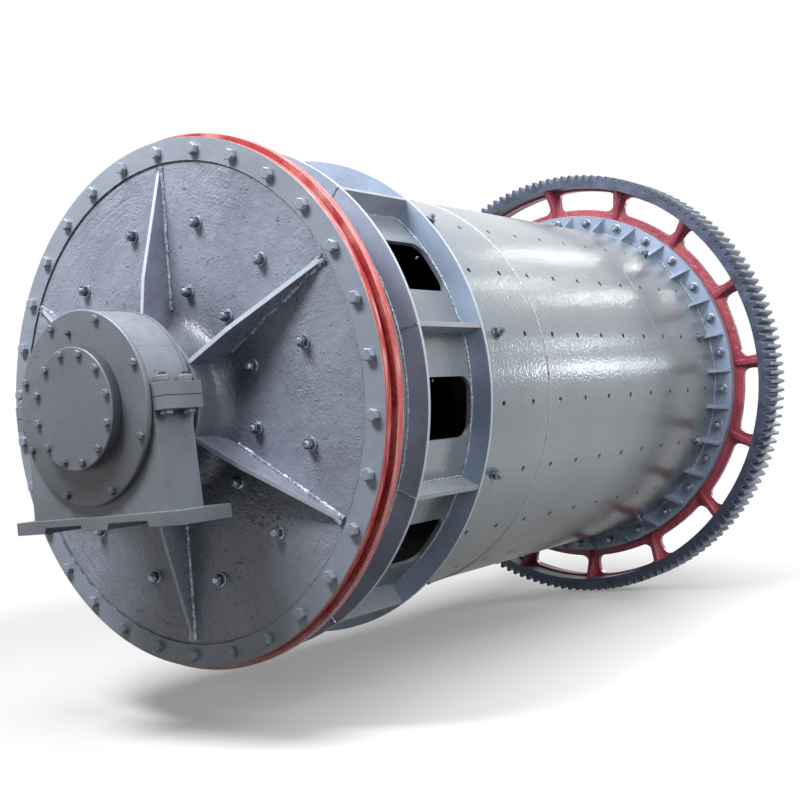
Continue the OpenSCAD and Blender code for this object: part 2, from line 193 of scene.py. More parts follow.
# Ring covers: turned discs on both faces of each housing, stepped where they seat, painted with the
# housing. Eight hexagon screws with forged heads hold each one.
cover_face = -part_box("front_bearing_outer_cover")[0][1]
inner_cover_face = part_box("front_bearing_inner_cover")[1][1]
cover_screw_r = 0.380
cover_screw_across, cover_screw_h = 0.030, 0.014
# The covers take the most painted shade, dark towards their lower edges.
cover_paint = housing_enamel("cover_enamel", shade(106, 111, 121), shade(120, 126, 137), gloss=0.30,
                             unshaded_z=0.47, full_shade_z=0.13, shade_share=0.85, joint_share=0.0)
finish_nodes(cover_paint, "front_bearing_outer_cover", "front_bearing_inner_cover",
             "rear_bearing_outer_cover", "rear_bearing_inner_cover")


def choose_faces(piece, test):
    """Selects, in edit mode, the faces that pass a test"""
    bpy.ops.object.mode_set(mode="EDIT")
    bpy.ops.mesh.select_mode(type="FACE")
    bpy.ops.mesh.select_all(action="DESELECT")
    bpy.ops.object.mode_set(mode="OBJECT")
    for face in piece.data.polygons:
        face.select = test(face)
    bpy.ops.object.mode_set(mode="EDIT")


def looks_up(face):
    """Whether a face looks along +Z"""
    return face.normal.z > 0.9


def hex_block(across, height, finish, foot=0.0):
    """A forged hexagon along +Z on a foot height, its upper corners turned off to a low round land"""
    land_inset, land_rise, corner = across * 0.09, height * 0.10, across * 0.02
    bpy.ops.object.select_all(action="DESELECT")
    bpy.ops.mesh.primitive_cylinder_add(vertices=6, radius=across / math.sqrt(3), depth=height,
                                        location=(0, 0, foot + height / 2))
    block = bpy.context.object
    bpy.ops.object.transform_apply(location=True)
    choose_faces(block, looks_up)
    bpy.ops.mesh.inset(thickness=land_inset)
    bpy.ops.transform.translate(value=(0, 0, land_rise))
    bpy.ops.object.mode_set(mode="OBJECT")
    soften = block.modifiers.new("corner", "BEVEL")
    soften.width, soften.segments, soften.limit_method = corner, 1, "ANGLE"
    bpy.ops.object.modifier_apply(modifier=soften.name)
    block.data.materials.append(finish)
    return block


def evenly(count, first):
    """Angles of a number of things set evenly round an axis, from the first one's"""
    return [first + 360 / count * k for k in range(count)]


def round_the_axis(angle):
    """The drum's axis frame, its local X turned from +X up towards +Z"""
    return Matrix.Translation((0, 0, axis_h)) @ Matrix.Rotation(math.radians(-angle), 4, "Y")


def on_face(radius, angle, y, outward, spin=0.0):
    """Place of a part that stands on a face across the axis, outward along Y"""
    return (round_the_axis(angle) @ Matrix.Translation((radius, y, 0))
            @ Matrix.Rotation(-outward * math.pi / 2, 4, "X") @ Matrix.Rotation(spin, 4, "Z"))


def set_copies(pattern, name, places, body):
    """One piece of joined copies of a pattern, each with its own mesh, riding on a body"""
    twins = []
    for place in places:
        twin = pattern.copy()
        twin.data = pattern.data.copy()
        bpy.context.collection.objects.link(twin)
        twin.matrix_world = place
        twins.append(twin)
    bpy.ops.object.select_all(action="DESELECT")
    for twin in twins:
        twin.select_set(True)
    bpy.context.view_layer.objects.active = twins[0]
    bpy.ops.object.join()
    bpy.ops.object.transform_apply(location=True, rotation=True, scale=True)
    row = bpy.context.object
    row.name = name
    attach(row, body)


spins = random.Random(7)


def any_spin():
    """A turn that a hexagon may have been left at"""
    return spins.uniform(0, math.pi / 3)


cover_screw = hex_block(cover_screw_across, cover_screw_h, cover_paint)
cover_faces = [(-cover_face, -1), (inner_cover_face, 1),
               (rear_y + cover_face, 1), (rear_y - inner_cover_face, -1)]
set_copies(cover_screw, "ring_cover_screws",
           [on_face(cover_screw_r, a, y, out, any_spin()) for y, out in cover_faces for a in evenly(8, 67.5)],
           "bearings")

# End cover: a thick blind disc over the front journal, turned with a small chamfer, painted with the
# covers, with painted shade laid dark on its turned side, and held by twelve screws of the same size.
end_cover_face = -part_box("front_bearing_end_cover")[0][1]
end_screw_r = 0.229


def outer_radius(node):
    """Radius of a CAD node round the drum's axis, to a tenth of a millimetre"""
    low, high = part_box(node)
    return round(max(high[0], -low[0], high[2] - axis_h, axis_h - low[2]), 4)


def axis_distance(tree, place):
    """Distance of each point from the drum's axis"""
    level = add_node(tree, "ShaderNodeVectorMath", {0: place, 1: (0, 0, axis_h)}, operation="SUBTRACT")
    across = add_node(tree, "ShaderNodeVectorMath", {0: level.outputs[0], 1: (1, 0, 1)}, operation="MULTIPLY")
    return add_node(tree, "ShaderNodeVectorMath", {0: across.outputs[0]}, operation="LENGTH").outputs["Value"]


def turned_side_shade(tree, place):
    """Share of the painted shade on the end cover's turned side"""
    side_r = outer_radius("front_bearing_end_cover")
    return between(tree, axis_distance(tree, place), side_r - 0.002, side_r - 0.001, 0.0, 0.8)


def touch_up(finish, share_at, colour):
    """Lays another colour over a finish, by a share that depends on the place"""
    tree = finish.node_tree
    under = tree.nodes["Principled BSDF"].inputs["Base Color"]
    place = add_node(tree, "ShaderNodeTexCoord").outputs["Object"]
    tree.links.new(mix_shades(tree, share_at(tree, place), under.links[0].from_socket, colour), under)


end_paint = housing_enamel("end_cover_enamel", shade(106, 111, 123), shade(118, 124, 137), gloss=0.30,
                           unshaded_z=0.20, full_shade_z=0.05, shade_share=0.3, joint_share=0.0)
# Painted shade: the end cover's turned side is laid dark.
touch_up(end_paint, turned_side_shade, shade(48, 54, 62))
finish_nodes(end_paint, "front_bearing_end_cover")
set_copies(cover_screw, "end_cover_screws",
           [on_face(end_screw_r, a, -end_cover_face, -1, any_spin()) for a in evenly(12, 100)],
           "bearings")
bpy.data.objects.remove(cover_screw)

# Joint bolts: two through each side of the housing's joint, a hexagon head below, and a washer and a nut
# on top, all painted over with the housing, with the end of the thread left black.
joint_bolt_x = 0.446
joint_bolt_ys = (-0.084, 0.036)
joint_flange_t = 0.054
joint_head_across, joint_head_h = 0.046, 0.018


def dull_steel(name, light, dark, gloss):
    """Bare steel gone dull, stained in patches, its edges lightened as wear and as painted highlight"""
    finish, tree, shader, place = begin_finish(name)
    stain = clouds(tree, place, 35.0, detail=5.0)
    grain = clouds(tree, place, 420.0, detail=2.0)
    edge = lay_relief(tree, shader, grain, depth=0.0006, edge_width=0.0015)
    colour = mix_shades(tree, between(tree, stain, 0.35, 0.65), dark, light)
    # Edges lightened, partly as wear and partly as painted highlight.
    colour = mix_shades(tree, times(tree, edge, 0.6), colour, shade(196, 204, 212))
    lay_coat(tree, shader, colour, between(tree, stain, 0.3, 0.7, gloss + 0.15, gloss))
    shader.inputs["Metallic"].default_value = 0.65
    return finish


nut_steel = dull_steel("nut_steel", shade(108, 118, 134), shade(60, 66, 78), gloss=0.24)
thread_steel = dull_steel("thread_steel", shade(158, 168, 182), shade(104, 112, 126), gloss=0.26)
black_steel = dull_steel("black_steel", shade(64, 64, 68), shade(40, 40, 44), gloss=0.40)


def thread_end(diameter, length, foot, finish):
    """The end of a thread along +Z, built up ridge by ridge and closed with a chamfer"""
    pitch, root_share, chamfer = 0.0045, 0.90, diameter * 0.08
    bpy.ops.object.select_all(action="DESELECT")
    bpy.ops.mesh.primitive_cylinder_add(vertices=14, radius=diameter / 2, depth=pitch,
                                        location=(0, 0, foot + pitch / 2))
    stud = bpy.context.object
    bpy.ops.object.transform_apply(location=True)
    choose_faces(stud, looks_up)
    for turn in range(max(1, round(length / pitch) - 1)):
        for scale in (root_share, 1 / root_share):
            bpy.ops.mesh.extrude_region_move(TRANSFORM_OT_translate={"value": (0, 0, pitch / 2)})
            bpy.ops.transform.resize(value=(scale, scale, 1), center_override=(0, 0, 0))
    bpy.ops.mesh.inset(thickness=chamfer)
    bpy.ops.transform.translate(value=(0, 0, chamfer))
    bpy.ops.object.mode_set(mode="OBJECT")
    stud.data.materials.append(finish)
    return stud


def flat_ring(diameter, thickness, foot, finish):
    """A washer along +Z with a broken edge"""
    edge_w, edge_h = thickness * 0.3, thickness * 0.15
    bpy.ops.object.select_all(action="DESELECT")
    bpy.ops.mesh.primitive_cylinder_add(vertices=28, radius=diameter / 2, depth=thickness,
                                        location=(0, 0, foot + thickness / 2))
    ring = bpy.context.object
    bpy.ops.object.transform_apply(location=True)
    choose_faces(ring, looks_up)
    bpy.ops.mesh.inset(thickness=edge_w)
    bpy.ops.transform.translate(value=(0, 0, edge_h))
    bpy.ops.object.mode_set(mode="OBJECT")
    ring.data.materials.append(finish)
    return ring


def join_parts(*parts):
    """Makes one piece of several, smooth over their shallow edges"""
    bpy.ops.object.select_all(action="DESELECT")
    for part in parts:
        part.select_set(True)
    bpy.context.view_layer.objects.active = parts[0]
    bpy.ops.object.join()
    bpy.ops.object.shade_smooth_by_angle(angle=math.radians(27))
    return bpy.context.object


def nut_on_stud(across, nut_h, stud_d, stud_out, washer_d, washer_t, washer_finish, nut_finish, stud_finish):
    """A washer, a nut and the end of the stud past it, along +Z"""
    return join_parts(hex_block(across, nut_h, nut_finish, foot=washer_t),
                      flat_ring(washer_d, washer_t, 0.0, washer_finish),
                      thread_end(stud_d, stud_out, washer_t + nut_h, stud_finish))


upper_nut = nut_on_stud(across=0.050, nut_h=0.020, stud_d=0.028, stud_out=0.012,
                        washer_d=0.048, washer_t=0.006,
                        washer_finish=housing_paint, nut_finish=housing_paint, stud_finish=black_steel)
lower_head = hex_block(joint_head_across, joint_head_h, housing_paint)
bolt_spots = [(side * joint_bolt_x, base_y + flip * along) for base_y, flip in ((0.0, 1), (rear_y, -1))
              for side in (-1, 1) for along in joint_bolt_ys]
set_copies(upper_nut, "joint_bolt_nuts",
           [Matrix.Translation((x, y, axis_h + joint_flange_t)) @ Matrix.Rotation(any_spin(), 4, "Z")
            for x, y in bolt_spots], "bearings")
set_copies(lower_head, "joint_bolt_heads",
           [Matrix.Translation((x, y, axis_h - joint_flange_t)) @ Matrix.Rotation(math.pi, 4, "X")
            for x, y in bolt_spots], "bearings")
bpy.data.objects.remove(upper_nut)
bpy.data.objects.remove(lower_head)

# Grease fitting: a small screwed nipple near the top of each outer ring cover, of blackened steel,
# through which the bearing is greased.
fitting_x, fitting_up = -0.032, 0.316
fitting_across, fitting_h = 0.020, 0.010
nipple_d, nipple_h = 0.010, 0.008
fitting = join_parts(hex_block(fitting_across, fitting_h, black_steel),
                     flat_ring(nipple_d, nipple_h, fitting_h, black_steel))
for name, y, turn in (("front_grease_fitting", -cover_face, math.pi / 2),
                      ("rear_grease_fitting", rear_y + cover_face, -math.pi / 2)):
    spot = Matrix.Translation((fitting_x, y, axis_h + fitting_up))
    set_copies(fitting, name, [spot @ Matrix.Rotation(turn, 4, "X")], "bearings")
bpy.data.objects.remove(fitting)

# Heads and trunnions: each end of the drum is one iron casting, a dished disc with a raised machined
# rim, a flaring hub and a journal. The rough skin is filled with putty, rubbed and painted grey.
rim_face = 0.376
rim_inner_r = 1.079
flange_r = outer_radius("front_head")
red_from_y, red_from_r = rim_face + 0.003, flange_r - 0.030
fillet_from_r, fillet_to_r = 0.55, 0.65
hub_shade_from_r, hub_shade_to_r = 0.36, 0.62


def ring_strokes(tree, place, distance, count):
    """Marks drawn out round the axis, a number of them to the metre of radius"""
    parts = split(tree, place)
    drawn = add_node(tree, "ShaderNodeCombineXYZ", {0: times(tree, distance, count),
                                                    1: times(tree, parts[0], 3.0),
                                                    2: times(tree, parts[2], 3.0)}).outputs[0]
    return add_node(tree, "ShaderNodeTexNoise", {"Vector": drawn, "Scale": 1.0, "Detail": 3.0}).outputs["Fac"]


def putty_skin(tree, place, distance):
    """Height of a filled and rubbed casting, with its lumps and the pits that the filler left"""
    lumps = clouds(tree, place, 20.0, detail=5.0)
    peel = clouds(tree, place, 75.0, detail=2.0, rough=0.5)
    uneven = between(tree, clouds(tree, place, 2.3, detail=3.0), 0.40, 0.62, 0.45, 1.0)
    trowelled = between(tree, clouds(tree, place, 1.7, detail=2.0), 0.46, 0.60)
    strokes = times(tree, ring_strokes(tree, place, distance, 42.0), between(tree, distance, 0.72, 1.02))
    torn = between(tree, clouds(tree, place, 4.2, detail=2.0), 0.50, 0.60)
    gouges = clouds(tree, place, 17.0, detail=6.0, rough=0.6, stretch=(1.0, 1.0, 1.8))
    holes = between(tree, clouds(tree, place, 44.0), 0.30, 0.26)
    pits = times(tree, reckon(tree, "MAXIMUM", between(tree, gouges, 0.36, 0.31), holes), torn)
    specks = between(tree, clouds(tree, place, 48.0, detail=1.0), 0.70, 0.76)
    height = times(tree, plus(tree, times(tree, lumps, 0.70), times(tree, peel, 0.40)), uneven)
    height = plus(tree, height, times(tree, strokes, between(tree, trowelled, 0.0, 1.0, 0.15, 0.9)))
    height = plus(tree, height, times(tree, specks, 0.35))
    return reckon(tree, "SUBTRACT", height, times(tree, pits, 0.5)), lumps, pits


def streaked_red(tree, place, deep, light, pale, painted_highlight_share):
    """Colour of red primer brushed along an edge, with painted highlights in pale streaks, and its streaks"""
    streak = clouds(tree, place, 9.0, detail=5.0, stretch=(1.0, 6.0, 1.0))
    runs = clouds(tree, place, 5.0, detail=6.0, stretch=(1.0, 22.0, 1.0))
    colour = mix_shades(tree, between(tree, streak, 0.3, 0.7), deep, light)
    # Painted highlight: pale glossy streaks laid over the red along the runs.
    return mix_shades(tree, between(tree, runs, 0.50, 0.66, 0.0, painted_highlight_share), colour, pale), streak


def puttied_casting(name, red_edge):
    """Head paint, rough inside the rim and smooth on it, with red brushed over the flange's edge if asked"""
    finish, tree, shader, place = begin_finish(name)
    distance = axis_distance(tree, place)
    broad = clouds(tree, place, 3.2, detail=7.0, rough=0.6)
    skin, lumps, pits = putty_skin(tree, place, distance)
    on_rim = between(tree, distance, rim_inner_r - 0.001, rim_inner_r + 0.001)
    height = times(tree, skin, between(tree, on_rim, 0.0, 1.0, 1.0, 0.12))
    fillet = between(tree, distance, fillet_from_r, fillet_to_r, 0.025, 0.003)
    edge = lay_relief(tree, shader, height, depth=0.0105, edge_width=fillet)
    rough = mix_shades(tree, between(tree, broad, 0.32, 0.68), shade(128, 133, 150), shade(150, 159, 177))
    rough = mix_shades(tree, between(tree, lumps, 0.52, 0.75, 0.0, 0.35), rough, shade(160, 170, 188))
    rough = mix_shades(tree, times(tree, pits, 0.55), rough, shade(66, 68, 80))
    # Painted shade: the hub and the disc round it darkened towards the journal, where the ribs and the
    # bearing shade them.
    hub_shade = between(tree, distance, hub_shade_from_r, hub_shade_to_r, 0.68, 0.0)
    rough = mix_shades(tree, hub_shade, rough, shade(70, 73, 84))
    smooth = mix_shades(tree, between(tree, broad, 0.3, 0.7), shade(136, 146, 160), shade(152, 162, 177))
    colour = mix_shades(tree, on_rim, rough, smooth)
    # Painted shadow: an uneven dark line along the rim's inner step.
    step_shadow = near(tree, distance, rim_inner_r - 0.003, between(tree, lumps, 0.35, 0.65, 0.0015, 0.0055))
    colour = mix_shades(tree, times(tree, step_shadow, 0.75), colour, shade(72, 76, 84))
    # Edges lightened, partly as wear and partly as painted highlight.
    colour = mix_shades(tree, times(tree, edge, 0.6), colour, shade(192, 203, 216))
    if red_edge:
        # The red on the flange's edge carries painted highlights in pale streaks.
        red = streaked_red(tree, place, deep=shade(158, 48, 52), light=shade(200, 78, 78),
                           pale=shade(242, 206, 202), painted_highlight_share=0.85)[0]
        outermost = between(tree, distance, red_from_r, red_from_r + 0.004)
        brushed = between(tree, split(tree, place)[1], red_from_y, red_from_y + 0.002)
        colour = mix_shades(tree, times(tree, outermost, brushed), colour, red)
    lay_coat(tree, shader, colour, between(tree, lumps, 0.3, 0.7, 0.24, 0.40))
    return finish


front_casting = puttied_casting("front_head_paint", red_edge=True)
rear_casting = puttied_casting("rear_head_paint", red_edge=False)
finish_nodes(front_casting, "front_head", "front_trunnion")
finish_nodes(rear_casting, "rear_head", "rear_trunnion")

# Head ribs: six tapered plates brace each head, welded to it along both sides in coarse hand-laid beads,
# and painted with it, thick and glossy, with painted highlight laid light on their outer edges.
drum_turn = -8.5
head_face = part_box("front_head_ribs")[1][1]
rib_half_t = 0.010
rib_weld_from, rib_weld_to = 0.420, 1.062
rib_weld_size, rib_weld_proud = 0.0105, 0.003
rib_weld_off = rib_half_t + 0.001
ripple = bpy.data.textures.new("weld_ripple", "CLOUDS")
ripple.noise_scale, ripple.noise_depth = 0.017, 2


def roughen(piece, amount):
    """Works a bead's ripples into its mesh"""
    bpy.context.view_layer.objects.active = piece
    shake = piece.modifiers.new("ripple", "DISPLACE")
    shake.texture, shake.strength, shake.texture_coords = ripple, amount, "LOCAL"
    bpy.ops.object.modifier_apply(modifier=shake.name)
    bpy.ops.object.shade_smooth()


def straight_bead(start, end, size, finish):
    """A weld bead along a straight line, with as many steps as its ripples need"""
    start, end = Vector(start), Vector(end)
    run = end - start
    steps = min(90, max(3, int(run.length / (size * 1.1))))
    bpy.ops.object.select_all(action="DESELECT")
    bpy.ops.mesh.primitive_cylinder_add(vertices=6, radius=size, depth=run.length)
    bead = bpy.context.object
    bpy.ops.object.mode_set(mode="EDIT")
    bpy.ops.mesh.select_mode(type="EDGE")
    bpy.ops.mesh.select_all(action="DESELECT")
    bpy.ops.object.mode_set(mode="OBJECT")
    for edge in bead.data.edges:
        low, high = (bead.data.vertices[v].co.z for v in edge.vertices)
        edge.select = abs(high - low) > run.length / 2
    bpy.ops.object.mode_set(mode="EDIT")
    bpy.ops.mesh.subdivide(number_cuts=steps)
    bpy.ops.object.mode_set(mode="OBJECT")
    along_run = run.to_track_quat("Z", "Y").to_matrix().to_4x4()
    bead.matrix_world = Matrix.Translation((start + end) / 2) @ along_run
    bpy.ops.object.transform_apply(location=True, rotation=True)
    roughen(bead, size * 1.5)
    bead.data.materials.append(finish)
    return bead


def set_beads(name, runs, size, finish, angles):
    """Beads along straight runs in the drum's axis frame, repeated at angles round the axis"""
    pattern = join_parts(*[straight_bead(start, end, size, finish) for start, end in runs])
    bpy.ops.object.shade_smooth()
    set_copies(pattern, name, [round_the_axis(a) for a in angles], "drum")
    bpy.data.objects.remove(pattern)


def weld_paint(name, light, deep):
    """Paint over weld beads, thick and glossy"""
    finish, tree, shader, place = begin_finish(name)
    spatter = clouds(tree, place, 90.0, detail=4.0)
    lay_relief(tree, shader, spatter, depth=0.004, edge_width=0.001)
    colour = mix_shades(tree, between(tree, spatter, 0.4, 0.65), deep, light)
    tree.links.new(colour, shader.inputs["Base Color"])
    shader.inputs["Roughness"].default_value = 0.20
    shader.inputs["Metallic"].default_value = 0.2
    return finish


def facing_along(tree):
    """How squarely a surface looks along the axis, from 0 to 1"""
    along = split(tree, add_node(tree, "ShaderNodeNewGeometry").outputs["Normal"])[1]
    return times(tree, along, along)


def rib_enamel():
    """The head's paint on its ribs, with painted highlight on their outer edges"""
    finish, tree, shader, place = begin_finish("head_rib_paint")
    broad = clouds(tree, place, 6.0, detail=5.0)
    lumps = clouds(tree, place, 28.0, detail=4.0)
    height = plus(tree, broad, times(tree, lumps, 0.5))
    edge = lay_relief(tree, shader, height, depth=0.004, edge_width=0.003)
    colour = mix_shades(tree, between(tree, broad, 0.3, 0.7), shade(116, 119, 136), shade(142, 149, 167))
    # Painted highlight: faces looking along the axis, the ribs' outer edges, and all edges laid light.
    worn = reckon(tree, "MAXIMUM", between(tree, facing_along(tree), 0.3, 0.5), edge)
    colour = mix_shades(tree, worn, colour, shade(190, 203, 217))
    lay_coat(tree, shader, colour, between(tree, lumps, 0.3, 0.7, 0.20, 0.36))
    return finish


rib_weld_paint = weld_paint("rib_weld_paint", light=shade(186, 196, 212), deep=shade(120, 127, 143))
finish_nodes(rib_enamel(), "front_head_ribs", "rear_head_ribs")
for end_name, y in (("front", head_face - rib_weld_proud), ("rear", rear_y - head_face + rib_weld_proud)):
    runs = [((rib_weld_from, y, off), (rib_weld_to, y, off)) for off in (-rib_weld_off, rib_weld_off)]
    set_beads(end_name + "_rib_welds", runs, rib_weld_size, rib_weld_paint,
              evenly(6, 36 + drum_turn))

# Head liner studs: two rings of twelve through each head hold its liner plates, each closed outside
# with a washer and a heavy nut, the thread standing out bright.
stud_rings = (0.810, 0.505)
stud_angles = evenly(12, 20.6 + drum_turn)
liner_nut = nut_on_stud(across=0.045, nut_h=0.024, stud_d=0.028, stud_out=0.015,
                        washer_d=0.060, washer_t=0.006,
                        washer_finish=thread_steel, nut_finish=nut_steel, stud_finish=thread_steel)
for end_name, y, out in (("front", head_face, -1), ("rear", rear_y - head_face, 1)):
    set_copies(liner_nut, end_name + "_head_liner_nuts",
               [on_face(r, a, y, out, any_spin()) for r in stud_rings for a in stud_angles],
               "drum")

# Rim bolts: thirty hexagon heads on each head's rim draw it up against the shell, painted over with the
# rim. At the front their nuts sit behind the shell's flange.
rim_bolt_r = 1.128
rim_bolt_across, rim_bolt_h = 0.048, 0.024
rim_bolt_angles = evenly(30, drum_turn)
front_flange_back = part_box("front_shell_flange")[1][1]
rim_bolt_head = hex_block(rim_bolt_across, rim_bolt_h, front_casting)
for end_name, y, out in (("front", rim_face, -1), ("rear", rear_y - rim_face, 1)):
    set_copies(rim_bolt_head, end_name + "_rim_bolt_heads",
               [on_face(rim_bolt_r, a, y, out, any_spin()) for a in rim_bolt_angles], "drum")
set_copies(liner_nut, "front_flange_nuts",
           [on_face(rim_bolt_r, a, front_flange_back, 1, any_spin()) for a in rim_bolt_angles],
           "drum")
bpy.data.objects.remove(rim_bolt_head)
bpy.data.objects.remove(liner_nut)

# Front shell flange: a rolled steel ring welded round the end of the shell, grooved where it meets the
# head, brushed with streaky red primer that carries pale streaks of painted highlight.
shell_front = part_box("discharge_course")[0][1]


def brushed_primer():
    """Red primer, with painted shade in the groove and painted highlight on the edges"""
    finish, tree, shader, place = begin_finish("flange_primer")
    fine = clouds(tree, place, 60.0, detail=3.0, stretch=(1.0, 3.0, 1.0))
    colour, streak = streaked_red(tree, place, deep=shade(166, 54, 56), light=shade(210, 88, 86),
                                  pale=shade(240, 188, 182), painted_highlight_share=0.8)
    edge = lay_relief(tree, shader, plus(tree, streak, times(tree, fine, 0.2)), depth=0.003, edge_width=0.005)
    # Painted shade: the flange's face by the groove is darkened.
    groove = between(tree, split(tree, place)[1], shell_front + 0.003, shell_front + 0.001, 0.0, 0.4)
    colour = mix_shades(tree, groove, colour, shade(112, 28, 36))
    # Painted highlight: the edges lightened towards pale pink.
    colour = mix_shades(tree, times(tree, edge, 0.35), colour, shade(222, 140, 136))
    lay_coat(tree, shader, colour, between(tree, fine, 0.3, 0.7, 0.18, 0.34))
    return finish


flange_primer = brushed_primer()
finish_nodes(flange_primer, "front_shell_flange")

# Shell: three courses of rolled steel plate, drilled for the liner bolts, butt welded and rolled with
# aluminium paint that keeps the roller's marks. Inside, the plate is bare and dark.
shell_out = outer_radius("middle_course")
plate_t = 0.020
shell_in = shell_out - plate_t
seam_ys = [corner[1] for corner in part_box("middle_course")]
first_seam_size, first_seam_sunk = 0.0055, 0.0015
second_seam_size, second_seam_sunk = 0.0030, 0.0018
flange_weld_size, ring_weld_rise = 0.009, 0.002
daub_half_w, daub_half_h, daub_up = 0.009, 0.055, 0.005
daub_red = shade(206, 40, 48)


def rolled_aluminium():
    """Aluminium paint outside the shell and bare plate inside it"""
    finish, tree, shader, place = begin_finish("aluminium_paint")
    broad = clouds(tree, place, 1.6, detail=4.0)
    dents = clouds(tree, place, 5.0, detail=1.0)
    peel = clouds(tree, place, 60.0, detail=1.0)
    strokes = clouds(tree, place, 1.0, detail=1.0, stretch=(7.0, 46.0, 7.0))
    blots = between(tree, clouds(tree, place, 14.0, detail=3.0), 0.30, 0.24)
    inside = between(tree, axis_distance(tree, place), shell_in + 0.002, shell_in + 0.001)
    height = plus(tree, times(tree, dents, 0.5), times(tree, peel, 0.85))
    height = plus(tree, height, times(tree, strokes, 0.35))
    lay_relief(tree, shader, height, depth=0.0016, edge_width=0.003)
    colour = mix_shades(tree, between(tree, broad, 0.3, 0.7), shade(128, 136, 143), shade(143, 151, 157))
    colour = mix_shades(tree, between(tree, strokes, 0.5, 0.75, 0.0, 0.15), colour, shade(126, 132, 140))
    colour = mix_shades(tree, times(tree, blots, 0.2), colour, shade(118, 122, 128))
    bare = mix_shades(tree, broad, shade(36, 33, 32), shade(66, 58, 54))
    colour = mix_shades(tree, inside, colour, bare)
    polish = between(tree, dents, 0.3, 0.7, 0.17, 0.22)
    lay_coat(tree, shader, colour, plus(tree, polish, times(tree, inside, 0.45)))
    tree.links.new(between(tree, inside, 0.0, 1.0, 0.20, 0.25), shader.inputs["Metallic"])
    return finish


def ring_bead(name, radius, y, size, finish):
    """A weld bead right round the drum"""
    bpy.ops.object.select_all(action="DESELECT")
    bpy.ops.mesh.primitive_torus_add(major_segments=420, minor_segments=6, major_radius=radius,
                                     minor_radius=size, location=(0, y, axis_h), rotation=(math.pi / 2, 0, 0))
    bead = bpy.context.object
    bpy.ops.object.transform_apply(location=True, rotation=True)
    roughen(bead, size * 1.3)
    bead.name = name
    bead.data.materials.append(finish)
    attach(bead, "drum")


def red_daubs(tree, place):
    """Share of the red marks that the fitter left across the first seam, level with the axis"""
    x, y, z = split(tree, place)
    at_seam = near(tree, y, seam_ys[0], daub_half_w)
    level = near(tree, z, axis_h + daub_up, daub_half_h)
    patch = times(tree, times(tree, at_seam, level), between(tree, x, 0.9, 1.0))
    return times(tree, patch, between(tree, clouds(tree, place, 40.0, detail=2.0), 0.47, 0.51))


aluminium_paint = rolled_aluminium()
seam_paint = weld_paint("seam_weld_paint", light=shade(198, 206, 210), deep=shade(140, 147, 153))
for finish in (aluminium_paint, seam_paint):
    touch_up(finish, red_daubs, daub_red)
finish_nodes(aluminium_paint, "discharge_course", "middle_course", "rear_course")
ring_bead("first_seam_weld", radius=shell_out - first_seam_sunk, y=seam_ys[0], size=first_seam_size,
          finish=seam_paint)
ring_bead("second_seam_weld", radius=shell_out - second_seam_sunk, y=seam_ys[1], size=second_seam_size,
          finish=aluminium_paint)
ring_bead("front_flange_weld", radius=shell_out + ring_weld_rise, y=front_flange_back, size=flange_weld_size,
          finish=flange_primer)

# Discharge rings and ribs: two flat rings and ten cross plates of flame-cut steel fence the ports in,
# welded to the shell by hand and painted a blue grey, with the paint thin along the cut edges.
ring_faces = [corner[1] for name in ("discharge_front_ring", "discharge_rear_ring")
              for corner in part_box(name)]
ring_r = outer_radius("discharge_front_ring")
port_rib_half_t = 0.011
port_rib_angles = evenly(10, 18 + drum_turn)
foot_weld_off = port_rib_half_t + 0.002
ring_weld_size, ring_weld_off = 0.0075, 0.002
ring_joint_size, ring_joint_foot, ring_joint_top = 0.0042, 0.006, 0.003


def blue_grey_paint(name, deep, light, edge_r=None):
    """Blue grey paint, worn bright on the cut edge at a radius if one is given"""
    finish, tree, shader, place = begin_finish(name)
    broad = clouds(tree, place, 4.5, detail=6.0)
    runs = clouds(tree, place, 6.0, detail=5.0, stretch=(3.0, 1.0, 3.0))
    grain = clouds(tree, place, 140.0, detail=3.0)
    height = plus(tree, runs, times(tree, grain, 0.4))
    edge = lay_relief(tree, shader, height, depth=0.0022, edge_width=0.003)
    colour = mix_shades(tree, between(tree, broad, 0.3, 0.7), deep, light)
    colour = mix_shades(tree, between(tree, runs, 0.5, 0.75, 0.0, 0.4), colour, shade(150, 156, 168))
    # Every edge lightened, partly as wear and partly as painted highlight; the cut edge at a radius is worn
    # paint.
    bright = times(tree, edge, 0.6)
    if edge_r:
        worn = between(tree, axis_distance(tree, place), edge_r - 0.002, edge_r - 0.001, 0.0, 0.75)
        bright = reckon(tree, "MAXIMUM", bright, worn)
    colour = mix_shades(tree, bright, colour, shade(186, 192, 202))
    lay_coat(tree, shader, colour, between(tree, runs, 0.3, 0.7, 0.30, 0.46))
    shader.inputs["Metallic"].default_value = 0.15
    return finish


ring_paint = blue_grey_paint("discharge_ring_paint", shade(148, 164, 188), shade(168, 184, 208), ring_r)
rib_paint = blue_grey_paint("discharge_rib_paint", shade(132, 139, 148), shade(158, 165, 173), ring_r)
ring_weld_paint = weld_paint("ring_weld_paint", light=shade(186, 196, 210), deep=shade(116, 126, 142))
finish_nodes(ring_paint, "discharge_front_ring", "discharge_rear_ring")
finish_nodes(rib_paint, "discharge_ribs")
for k, y in enumerate(ring_faces):
    outward = (-ring_weld_off, ring_weld_off)[k % 2]
    ring_bead(f"discharge_ring_weld_{k + 1}", radius=shell_out + ring_weld_rise, y=y + outward,
              size=ring_weld_size, finish=ring_weld_paint)
foot_runs = [((shell_out, ring_faces[1], off), (shell_out, ring_faces[2], off))
             for off in (-foot_weld_off, foot_weld_off)]
set_beads("discharge_rib_welds", foot_runs, ring_weld_size, ring_weld_paint,
          port_rib_angles)
joint_runs = [((shell_out + ring_joint_foot, y, 0.0), (ring_r - ring_joint_top, y, 0.0))
              for y in (ring_faces[0], ring_faces[3])]
set_beads("discharge_ring_joints", joint_runs, ring_joint_size, ring_weld_paint,
          port_rib_angles)

